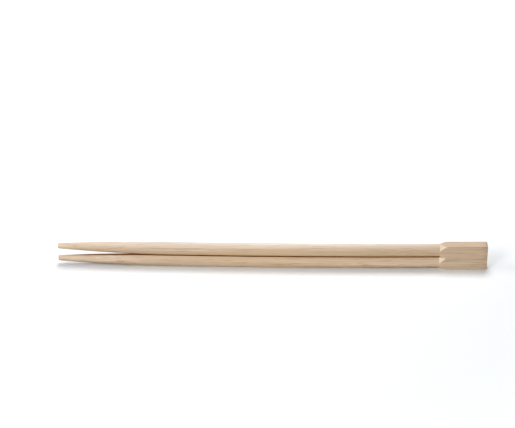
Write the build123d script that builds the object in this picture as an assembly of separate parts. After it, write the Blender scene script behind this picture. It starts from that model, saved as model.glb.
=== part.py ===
"""Twin bamboo chopsticks: one milled strip, two tapered sticks that a square head still joins.

The pair stands on its narrow edge, stick above stick. X runs from the tips to the head, Y through the
thickness and Z up across the pair. The origin is on the standing surface, under the middle of the length.
"""

import math
import os

from build123d import *

# Driving dimensions, in millimetres
overall_length = 210.0  # tips to the sawn end of the head
head_length = 23.4  # sawn end to where the sticks begin, shoulders included
stick_width = 6.55  # one stick, across the pair
stick_thickness = 4.5  # one stick at its crown, through the strip
side_flat = 0.4  # band of the sawn strip that is left along the outer side of a stick
side_round = 0.6  # radius between the side flat and the crowns
stick_gap = 0.6  # slit that the saw leaves between the two sticks
slit_wall = 1.7  # depth of the slit: the sawn band along the inner side of a stick
slit_round = 0.2  # radius between a slit wall and the crowns
crown_cut = 0.1  # what the cutter takes from the strip at the crown of a stick
shoulder_cone = 7.2  # how far below the shoulder its cones come to a point
taper_length = 51.0  # part of a stick that is sharpened
tip_width = 2.65  # one tip, across the pair
tip_thickness = 2.45  # one tip, through the strip
tip_wall = 0.24  # what the sharpening leaves of a slit wall at the tip
tip_round = 0.45  # sanded rim of a tip
edge_round = 0.3  # edges of the wide faces of the head
corner_round = 0.8  # corners of the sawn end, seen on a wide face
bow = 1.45  # sideways bow of the strip, at the middle of its length

# Sizes that follow
strip_width = 2 * stick_width + stick_gap
strip_thickness = stick_thickness + 2 * crown_cut
stick_pitch = stick_width + stick_gap
stick_heights = (strip_width / 2 - stick_pitch / 2, strip_width / 2 + stick_pitch / 2)
shoulder_x = overall_length / 2 - head_length
tip_x = -overall_length / 2
taper_x = tip_x + taper_length
bow_radius = overall_length**2 / (8 * bow)
bow_axis = Axis((0, bow_radius - bow / 2, 0), (0, 0, 1))


def bow_turn(x):
    """How far the strip has turned at x, in radians."""
    return math.asin(x / bow_radius)


def cross_plane(x, height):
    """The plane across the strip at x: its own x points at the slit, its own y through the thickness."""
    inward = 1 if height < strip_width / 2 else -1
    turn = bow_turn(x)
    sideways = bow_radius * (1 - math.cos(turn)) - bow / 2
    return Plane(origin=(x, sideways, height), x_dir=(0, 0, inward), z_dir=(math.cos(turn), math.sin(turn), 0))


def crown_half(side, crown, flat, radius):
    """From the middle of a crown to the flat of one side: the crown's arc, then a round tangent to both."""
    corner = flat / 2
    reach = side - radius
    drop = crown - corner
    crown_radius = (reach**2 + drop**2 - radius**2) / (2 * (drop - radius))
    share = crown_radius / (crown_radius - radius)
    meet = (reach * share, crown - crown_radius + (crown_radius - drop) * share)
    return [TangentArc((0, crown), meet, tangent=(1, 0)), TangentArc((side, corner), meet, tangent=(0, 1))]


def stick_section(width, thickness, wall, wall_round):
    """The shape that two hollow cutters and the saw leave: rounded outside, a flat wall at the slit."""
    side = width / 2
    crown = thickness / 2
    flats = [Line((side, -wall / 2), (side, wall / 2)), Line((-side, -side_flat / 2), (-side, side_flat / 2))]
    inner_half = crown_half(side, crown, wall, wall_round)
    outer_half = [mirror(edge, Plane.YZ) for edge in crown_half(side, crown, side_flat, side_round)]
    upper = inner_half + outer_half
    return make_face(flats + upper + [mirror(edge, Plane.XZ) for edge in upper])


def taper_section(x):
    """The section at x in the taper, which leaves the shank smoothly and curves in to the tip."""
    along = (x - tip_x) / taper_length
    share = (1 - along) ** 2
    width = stick_width + share * (tip_width - stick_width)
    thickness = stick_thickness + share * (tip_thickness - stick_thickness)
    wall = tip_wall + along * (slit_wall - tip_wall)
    wall_round = slit_round + share * (side_round - slit_round)
    return stick_section(width, thickness, wall, wall_round)


def make_stick(height):
    """One stick: a bowed shank, and a taper whose tip has a sanded rim."""
    swing = math.degrees(bow_turn(shoulder_x) - bow_turn(taper_x))
    shank_section = stick_section(stick_width, stick_thickness, slit_wall, slit_round)
    shank = revolve(cross_plane(taper_x, height) * shank_section, bow_axis, swing)
    stations = (tip_x, (tip_x + taper_x) / 2, taper_x)
    taper = loft([cross_plane(x, height) * taper_section(x) for x in stations])
    taper = fillet(taper.faces().sort_by(Axis.X)[0].edges(), tip_round)
    return taper + shank


def make_cone(height):
    """The cone that a stick opens into, as long as the head."""
    foot = cross_plane(shoulder_x, height)
    growth = 1 + head_length / shoulder_cone
    start = stick_section(stick_width, stick_thickness, slit_wall, slit_round)
    return loft([foot * start, foot * Pos(0, 0, head_length) * scale(start, by=growth)], ruled=True)


def make_head():
    """The square head: a piece of the strip with broken edges, pointed by one cone for each stick."""
    across = cross_plane(shoulder_x, 0)
    wide_plane = Plane(origin=across.origin, x_dir=across.z_dir, z_dir=across.y_dir)
    outline = Rectangle(head_length, strip_width, align=(Align.MIN, Align.MIN))
    outline = fillet(outline.vertices().group_by(Axis.X)[-1], corner_round)
    block = extrude(wide_plane * outline, strip_thickness / 2, both=True)
    faces_across = block.faces().sort_by(Axis.Y)
    broken_edges = []
    for wide_face in (faces_across[0], faces_across[-1]):
        broken_edges += wide_face.edges().sort_by(Axis.X)[1:]
    block = fillet(broken_edges, edge_round)
    lower_cone, upper_cone = (make_cone(height) for height in stick_heights)
    return block & (lower_cone + upper_cone)


chopsticks = make_head()
for stick_height in stick_heights:
    chopsticks += make_stick(stick_height)

os.makedirs("parts", exist_ok=True)
export_step(chopsticks, "parts/twin_chopsticks.step")
print("volume", round(chopsticks.volume), "solids", len(chopsticks.solids()), "valid", chopsticks.is_valid)
print("box", chopsticks.bounding_box())
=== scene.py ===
# %% [markdown]
# # Twin bamboo chopsticks
# A disposable pair is one strip of bamboo. Cutters round it into two sticks, a saw parts them, and the square
# head keeps them together until someone snaps them apart. The solid already has that form, so this lesson
# loads it as a fixed frame and gives it what a solid cannot hold: bamboo, light and a camera.

# %% Load the frame
import math

import bpy
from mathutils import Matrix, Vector

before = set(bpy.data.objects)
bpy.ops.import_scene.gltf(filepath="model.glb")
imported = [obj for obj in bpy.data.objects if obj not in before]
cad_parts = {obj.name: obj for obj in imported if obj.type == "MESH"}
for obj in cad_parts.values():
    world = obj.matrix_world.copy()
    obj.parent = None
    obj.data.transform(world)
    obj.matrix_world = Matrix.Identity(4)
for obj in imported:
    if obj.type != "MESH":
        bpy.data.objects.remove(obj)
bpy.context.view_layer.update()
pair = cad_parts["twin_chopsticks"]

# %% [markdown]
# ## The camera
# The pair lies across the picture, seen a little from above through a long lens, so its edges stay nearly
# parallel. A camera could be turned with Euler angles. Here it is set as a photographer would set it: choose
# the point to look at, how high and how far round to stand, and step back by a distance.

# %% Set the camera
picture_width_px = 515
focal_px = 2238.8
sensor_mm = 36.0
stand_back = 1.1
look_down = math.radians(34.5)
look_round = math.radians(-0.9)
aim_along = -0.00727
aim_above = 0.0254

camera_data = bpy.data.cameras.new("camera")
camera_data.sensor_width = sensor_mm
camera_data.lens = sensor_mm * focal_px / picture_width_px
camera = bpy.data.objects.new("camera", camera_data)
bpy.context.scene.collection.objects.link(camera)
level = Vector((math.sin(look_round), math.cos(look_round), 0))
forward = level * math.cos(look_down) - Vector((0, 0, math.sin(look_down)))
up = level * math.sin(look_down) + Vector((0, 0, math.cos(look_down)))
aim = Vector((aim_along, 0, 0)) + up * aim_above
camera.location = aim - forward * stand_back
camera.rotation_euler = forward.to_track_quat("-Z", "Y").to_euler()
bpy.context.scene.camera = camera
print("lens", round(camera_data.lens, 1), "mm, camera at", [round(v, 3) for v in camera.location])

# %% [markdown]
# ## Node helpers
# Every finish below is a small chain of nodes. The nodes could be placed by hand in the editor, but a script
# can be read and run again. One helper adds a node, sets its inputs by name or number and links whatever is
# given as a socket. The others are the steps that come back most: a mix of two colours, a value that rises or
# fades over a span, a product of two values, and a new material.

# %% Add nodes
def add_node(tree, kind, settings=None, **inputs):
    node = tree.nodes.new(kind)
    for name, value in (settings or {}).items():
        setattr(node, name, value)
    for name, value in inputs.items():
        socket = node.inputs[int(name[1:])] if name[1:].isdigit() else node.inputs[name.replace("_", " ")]
        if isinstance(value, bpy.types.NodeSocket):
            tree.links.new(value, socket)
        else:
            socket.default_value = value
    return node


def mixed(tree, factor, first, second, blend="MIX"):
    settings = {"data_type": "RGBA", "blend_type": blend}
    return add_node(tree, "ShaderNodeMix", settings, i0=factor, i6=first, i7=second).outputs[2]


def rise(tree, value, span, start=0.0, end=1.0):
    settings = {"interpolation_type": "SMOOTHSTEP"}
    return add_node(tree, "ShaderNodeMapRange", settings, i0=value, From_Min=span[0], From_Max=span[1],
                    To_Min=start, To_Max=end).outputs[0]


def fade(tree, value, span, start=1.0):
    return rise(tree, value, span, start, 0.0)


def times(tree, first, second):
    return add_node(tree, "ShaderNodeMath", {"operation": "MULTIPLY"}, i0=first, i1=second).outputs[0]


def new_material(name):
    material = bpy.data.materials.new(name)
    material.use_nodes = True
    return material, material.node_tree, material.node_tree.nodes["Principled BSDF"]


print("helpers ready")

# %% [markdown]
# ## The floor
# The pair stands on white board that sweeps away out of sight. A curved sheet could be modelled, but a flat
# plane is enough when nothing shows where it ends.

# %% Lay the floor
floor_side = 6.0

bpy.ops.object.select_all(action="DESELECT")
bpy.ops.mesh.primitive_plane_add(size=floor_side, location=(0, 0, 0))
floor = bpy.context.object
floor.name = "floor"
print("floor", floor_side, "m square")

# %% [markdown]
# ## White board
# Near the pair the floor is plain board, which keeps the shadow. Further out it turns into a white glow, so
# no view shows a horizon. Stronger lamps could burn the floor to white, but they would burn the bamboo too.
# The glow lights nothing: only the camera and reflections see it. It starts early behind the pair, because
# a low lamp in front throws a long faint shadow there. Light that bounces finds a greyer board, as a small
# sheet in a dim room would send less of it back.

# %% Paint the board
white = (1, 1, 1, 1)
black = (0, 0, 0, 1)
board_white = (0.955, 0.978, 1, 1)
bounce_grey = (0.6, 0.6, 0.6, 1)
board_roughness = 0.9
board_span = (0.16, 0.45)
glow_span = (0.11, 0.45)
behind_span = (0.0, 0.03)
front_glow = 0.01
back_glow = 0.13


def seen_directly(tree):
    path = add_node(tree, "ShaderNodeLightPath")
    seen = path.outputs["Is Camera Ray"]
    for ray in ("Is Glossy Ray", "Is Transmission Ray"):
        either = add_node(tree, "ShaderNodeMath", {"operation": "MAXIMUM"}, i0=seen, i1=path.outputs[ray])
        seen = either.outputs[0]
    return seen


sweep, tree, shader = new_material("white_sweep")
place = add_node(tree, "ShaderNodeTexCoord").outputs["Object"]
distance = add_node(tree, "ShaderNodeVectorMath", {"operation": "LENGTH"}, i0=place).outputs["Value"]
seen = seen_directly(tree)
board = mixed(tree, rise(tree, distance, board_span), board_white, black)
tree.links.new(mixed(tree, seen, bounce_grey, board), shader.inputs["Base Color"])
behind = add_node(tree, "ShaderNodeSeparateXYZ", i0=place).outputs["Y"]
near_glow = rise(tree, behind, behind_span, front_glow, back_glow)
glow = rise(tree, distance, glow_span, near_glow)
tree.links.new(times(tree, glow, seen), shader.inputs["Emission Strength"])
shader.inputs["Emission Color"].default_value = white
shader.inputs["Roughness"].default_value = board_roughness
shader.inputs["Specular IOR Level"].default_value = 0.0
floor.data.materials.append(sweep)
print("board has", len(tree.nodes), "nodes")

# %% [markdown]
# ## The light
# A soft box above the pair, and a little behind it, throws a broad shadow towards the camera. Weaker boxes
# in front, low in front and on the left fill the faces that it leaves dark. One bright sky could light it
# all, but the shadow would be lost, so the sky stays faint. Together the lamps are at the level at which
# white board just renders white, and the Standard view shows that white as it is.

# %% Light the room
sky_strength = 0.08
soft_lamps = {
    # name: place, side in metres, watts
    "top_box": ((0.04, 0.33, 0.94), 0.45, 6.9),
    "front_box": ((-0.35, -0.4, 0.5), 0.3, 1.3),
    "low_box": ((-0.4, -0.6, 0.12), 0.35, 3.2),
    "left_box": ((-0.88, 0.0, 0.48), 0.4, 2.8),
}

world = bpy.data.worlds.new("studio")
bpy.context.scene.world = world
world.use_nodes = True
tree = world.node_tree
background = tree.nodes["Background"]
background.inputs["Color"].default_value = white
strength = add_node(tree, "ShaderNodeMapRange", i0=seen_directly(tree), To_Min=sky_strength, To_Max=1.0)
tree.links.new(strength.outputs[0], background.inputs["Strength"])

for name, (spot, side, watts) in soft_lamps.items():
    lamp_data = bpy.data.lights.new(name, "AREA")
    lamp_data.size = side
    lamp_data.energy = watts
    lamp = bpy.data.objects.new(name, lamp_data)
    bpy.context.scene.collection.objects.link(lamp)
    lamp.location = spot
    lamp.rotation_euler = (-Vector(spot)).to_track_quat("-Z", "Y").to_euler()
    print(name, side, "m,", watts, "W")

bpy.context.scene.view_settings.view_transform = "Standard"

# %% [markdown]
# ## The grain
# Bamboo is a bundle of fibres that all run one way, set in a paler pith. Along the strip they show as fine
# streaks, and on a sawn end as dots. An image could be wrapped round the sticks, but it would stretch at
# the ends. A solid pattern of noise, stretched along X and read in Object coordinates, gives streaks and
# dots alike.

# %% Grow the grain
pale = (0.74, 0.565, 0.39, 1)
warm = (0.58, 0.405, 0.245, 1)
fibre_brown = (0.35, 0.2, 0.095, 1)
grain_start = (8.5, 15.5, 26.5)
grains = {
    # name: repeats in a metre along the strip, the same across it, levels of detail
    "bands": (9.0, 420.0, 2.0),
    "streaks": (14.0, 1300.0, 3.0),
    "bundles": (90.0, 2400.0, 1.0),
}
band_span = (0.3, 0.7)
streak_span = (0.4, 0.66)
streak_share = 0.9
bundle_span = (0.57, 0.7)
bundle_share = 0.6


def stretched_noise(tree, place, along, across, detail):
    stretch = (along, across, across)
    grid = add_node(tree, "ShaderNodeMapping", Vector=place, Scale=stretch, Location=grain_start)
    noise = add_node(tree, "ShaderNodeTexNoise", Vector=grid.outputs[0], Scale=1.0, Detail=detail)
    return noise.outputs["Fac"]


bamboo, tree, shader = new_material("bamboo")
coordinates = add_node(tree, "ShaderNodeTexCoord")
place = coordinates.outputs["Object"]
bands, streaks, bundles = (stretched_noise(tree, place, *grain) for grain in grains.values())
colour = mixed(tree, rise(tree, bands, band_span), pale, warm)
colour = mixed(tree, rise(tree, streaks, streak_span, end=streak_share), colour, warm)
colour = mixed(tree, rise(tree, bundles, bundle_span, end=bundle_share), colour, fibre_brown)
print("grain of", ", ".join(grains))

# %% [markdown]
# ## The head
# The sawn faces of the head are a shade greyer than the sticks. Their foot is painted paler, a painted
# light that lifts the shade near the floor. The broken edges carry a painted dark line of shade, and the
# narrow top is painted darker, a painted shade that tones down the light from above. These tones could be
# painted on by hand. Here each has a mask, read from where a point is and which way it faces, so the tones
# end where the faces do.

# %% Tint the head
sawn_tint = (0.96, 0.96, 0.97, 1)
# painted shade for the head's rounded edges and its narrow top
edge_shade_tint = (0.52, 0.5, 0.49, 1)
narrow_shade_tint = (0.91, 0.91, 0.92, 1)
shoulder_x = 0.0816
head_span = (shoulder_x, shoulder_x + 0.0005)
# painted light at the foot of the head
foot_span = (0.0004, 0.0024)
foot_share = 0.7
# how far a face looks along X or up: -1 is straight back or down, 1 straight along or up
scoop_facing = (-0.2, -0.05)
wide_facing = (0.3, 0.7)
edge_facing_from = (0.1, 0.25)
edge_facing_to = (0.75, 0.9)
narrow_facing = (0.5, 0.9)

where = add_node(tree, "ShaderNodeSeparateXYZ", i0=place)
facing = add_node(tree, "ShaderNodeSeparateXYZ", i0=coordinates.outputs["Normal"])
x, z = where.outputs["X"], where.outputs["Z"]
facing_x, facing_z = facing.outputs["X"], facing.outputs["Z"]
head = rise(tree, x, head_span)
flat_head = times(tree, head, rise(tree, facing_x, scoop_facing))
sawn = times(tree, flat_head, fade(tree, facing_z, wide_facing))
colour = mixed(tree, sawn, colour, sawn_tint, "MULTIPLY")
# painted light: the foot of the head is mixed towards pale, to lift the shade near the floor
painted_foot_light = times(tree, head, fade(tree, z, foot_span, foot_share))
colour = mixed(tree, painted_foot_light, colour, pale)
# painted shade: a dark line on the rounded edges of the head
shaded_edge = times(tree, rise(tree, facing_z, edge_facing_from), fade(tree, facing_z, edge_facing_to))
colour = mixed(tree, times(tree, flat_head, shaded_edge), colour, edge_shade_tint, "MULTIPLY")
# painted shade: the narrow top of the head is darkened against the light from above
narrow = times(tree, head, rise(tree, facing_z, narrow_facing))
colour = mixed(tree, narrow, colour, narrow_shade_tint, "MULTIPLY")

# %% [markdown]
# ## The shoulder and the end
# The scoops of the shoulder, where the cutters leave the strip, are painted paler: a painted highlight.
# The last few millimetres towards the sawn end are painted darker: a painted shade, where the end turns
# from the light. Each could be a material of its own, but its edge would be hard. Two more masks on the
# same chain let the tones run out softly.

# %% Tint the shoulder and the end
# painted highlight on the scoops
scoop_highlight = (0.83, 0.67, 0.5, 1)
scoop_highlight_span = (shoulder_x - 0.0005, shoulder_x + 0.004)
scoop_highlight_share = 0.3
# painted shade towards the sawn end
end_shade_tint = (0.86, 0.84, 0.82, 1)
end_x = 0.105
end_span = (end_x - 0.0035, end_x)

scooped = fade(tree, facing_x, scoop_facing)
# painted highlight: the scoops at the shoulder are mixed towards a pale cream
painted_scoop_highlight = times(tree, rise(tree, x, scoop_highlight_span, end=scoop_highlight_share), scooped)
colour = mixed(tree, painted_scoop_highlight, colour, scoop_highlight)
# painted shade: the last few millimetres of the head darken towards the end
colour = mixed(tree, rise(tree, x, end_span), colour, end_shade_tint, "MULTIPLY")

# %% [markdown]
# ## The sides of the sticks
# The top of the upper stick is painted paler and greyer: partly its paler pith side, partly a painted
# sheen. The faces that look down on the sticks are painted dark, a painted shade that draws the crevice
# under the lower stick. Towards the points the sticks are painted darker, a painted shade that evens out
# the brighter light there, and the undersides of the taper get a further painted shade. A picture of a
# stick would show all this, but only from one side, so the masks go on from the head to the sticks.

# %% Tint the sticks
# painted shade towards the points
tip_shade_tint = (0.86, 0.86, 0.87, 1)
tip_span = (-0.06, -0.01)
# paler pith side with a painted sheen on top
pith_and_sheen = (0.66, 0.6, 0.52, 1)
pith_and_sheen_span = (0.0115, 0.0134)
pith_and_sheen_share = 0.5
# painted shade on faces that look down
crevice_shade_tint = (0.4, 0.33, 0.27, 1)
down_facing = (-0.9, -0.6)
# painted shade under the taper
taper_shade_tint = (0.68, 0.66, 0.65, 1)
taper_span = (-0.085, -0.05)
under_facing = (-0.75, 0.1)
shank_span = (shoulder_x - 0.002, shoulder_x + 0.002)

# painted shade: the sticks darken towards the points
colour = mixed(tree, fade(tree, x, tip_span), colour, tip_shade_tint, "MULTIPLY")
shank = fade(tree, x, shank_span)
# partly the paler pith side, partly a painted sheen on the top of the upper stick
pith_and_sheen_side = times(tree, shank, rise(tree, z, pith_and_sheen_span, end=pith_and_sheen_share))
colour = mixed(tree, pith_and_sheen_side, colour, pith_and_sheen)
# painted shade: faces that look down darken, which draws the crevice line under the lower stick
crevice_shade = times(tree, shank, fade(tree, facing_z, down_facing))
colour = mixed(tree, crevice_shade, colour, crevice_shade_tint, "MULTIPLY")
# painted shade: the undersides of the taper darken
taper_shade = times(tree, fade(tree, x, taper_span), fade(tree, facing_z, under_facing))
colour = mixed(tree, taper_shade, colour, taper_shade_tint, "MULTIPLY")

# %% [markdown]
# ## The slit
# The slit between the sticks is deep, and its walls get a painted shade of dark brown. A band beside it
# gets a painted warm shade, and the painted shade ends in the crease between the two scoops. The walls
# could have a slot of their own, with their faces picked by hand. A mask finds them too: they are the
# faces that look towards the middle of the strip.

# %% Brown the slit
# painted shade in the slit and the crease
slit_shade_brown = (0.23, 0.085, 0.008, 1)
slit_height = 0.00685
middle_span = (slit_height - 0.00001, slit_height + 0.00001)
wall_facing = (0.75, 0.95)
wall_span = (-0.104, -0.09)
wall_share = 0.95
# painted warm shade beside the slit
slit_band_shade_tint = (0.96, 0.85, 0.67, 1)
shade_band_height = 0.0074
shade_band_reach = (0.0004, 0.002)
shade_band_span = (-0.09, -0.07)
crease_reach = (0.0001, 0.00025)
crease_share = 0.8


def distance_from(tree, value, middle):
    offset = add_node(tree, "ShaderNodeMath", {"operation": "SUBTRACT"}, i0=value, i1=middle).outputs[0]
    return add_node(tree, "ShaderNodeMath", {"operation": "ABSOLUTE"}, i0=offset).outputs[0]


# painted shade: a warm darker band beside the slit
joined = times(tree, shank, rise(tree, x, shade_band_span))
shade_band = times(tree, joined, fade(tree, distance_from(tree, z, shade_band_height), shade_band_reach))
colour = mixed(tree, shade_band, colour, slit_band_shade_tint, "MULTIPLY")
# painted shade: the slit walls turn dark brown
inward = times(tree, rise(tree, z, middle_span, 1.0, -1.0), facing_z)
wall = times(tree, rise(tree, inward, wall_facing), rise(tree, x, wall_span, end=wall_share))
colour = mixed(tree, wall, colour, slit_shade_brown)
# painted shade: the crease between the scoops turns dark brown
near_middle = fade(tree, distance_from(tree, z, slit_height), crease_reach, crease_share)
crease = times(tree, times(tree, head, scooped), near_middle)
colour = mixed(tree, crease, colour, slit_shade_brown)

# %% [markdown]
# ## The finish
# The bamboo has no varnish. Tumbling gives it a dull shine, which the fibres break up, and they can just be
# felt. A noise of its own could drive the shine, but then shine and colour would not agree, so the streaks
# of the grain drive both the roughness and a very low bump. The walls of the slit stay as rough as the saw
# left them.

# %% Finish the bamboo
gloss_span = (0.3, 0.7)
smooth_fibre = 0.36
dull_fibre = 0.5
sawn_roughness = 1.0
gloss_level = 1.0
bump_strength = 0.5
bump_height = 0.00004

tree.links.new(colour, shader.inputs["Base Color"])
polished = rise(tree, streaks, gloss_span, smooth_fibre, dull_fibre)
roughness = add_node(tree, "ShaderNodeMix", i0=wall, i2=polished, i3=sawn_roughness)
tree.links.new(roughness.outputs[0], shader.inputs["Roughness"])
shader.inputs["Specular IOR Level"].default_value = gloss_level
bump = add_node(tree, "ShaderNodeBump", Strength=bump_strength, Distance=bump_height, Height=streaks)
tree.links.new(bump.outputs[0], shader.inputs["Normal"])
pair.data.materials.clear()
pair.data.materials.append(bamboo)
print("bamboo has", len(tree.nodes), "nodes")
